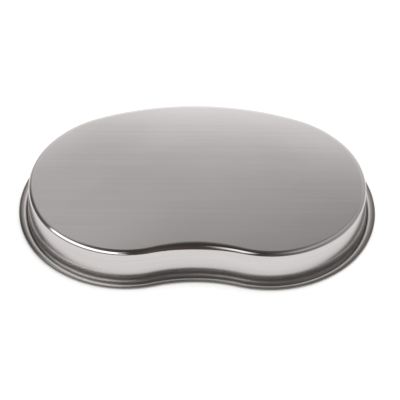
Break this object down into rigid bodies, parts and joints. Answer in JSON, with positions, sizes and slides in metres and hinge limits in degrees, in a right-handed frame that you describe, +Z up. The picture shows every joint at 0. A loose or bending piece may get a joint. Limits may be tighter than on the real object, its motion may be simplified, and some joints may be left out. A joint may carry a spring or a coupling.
{
  "type": "kidney dish",
  "caption": "Shallow kidney-shaped steel dish with a flat base, sloping wall and rolled rim, stored upside down on its rim.",
  "frame": {"origin": "centre of the bounding box's underside, on the surface that the rolled rim rests on", "axes": "+X along the dish's length, +Y towards the long convex side, +Z up out of the flat base panel, with the bowl's mouth facing -Z"},
  "size_m": [0.2602, 0.1612, 0.029],
  "materials": {
    "pan_steel": "brushed base panel, polished radius, wall and rim",
    "wire_steel": "drawn wire"
  },
  "bodies": {
    "root": {"drawn_pan": "pan_steel", "rim_wire": "wire_steel"}
  },
  "joints": []
}
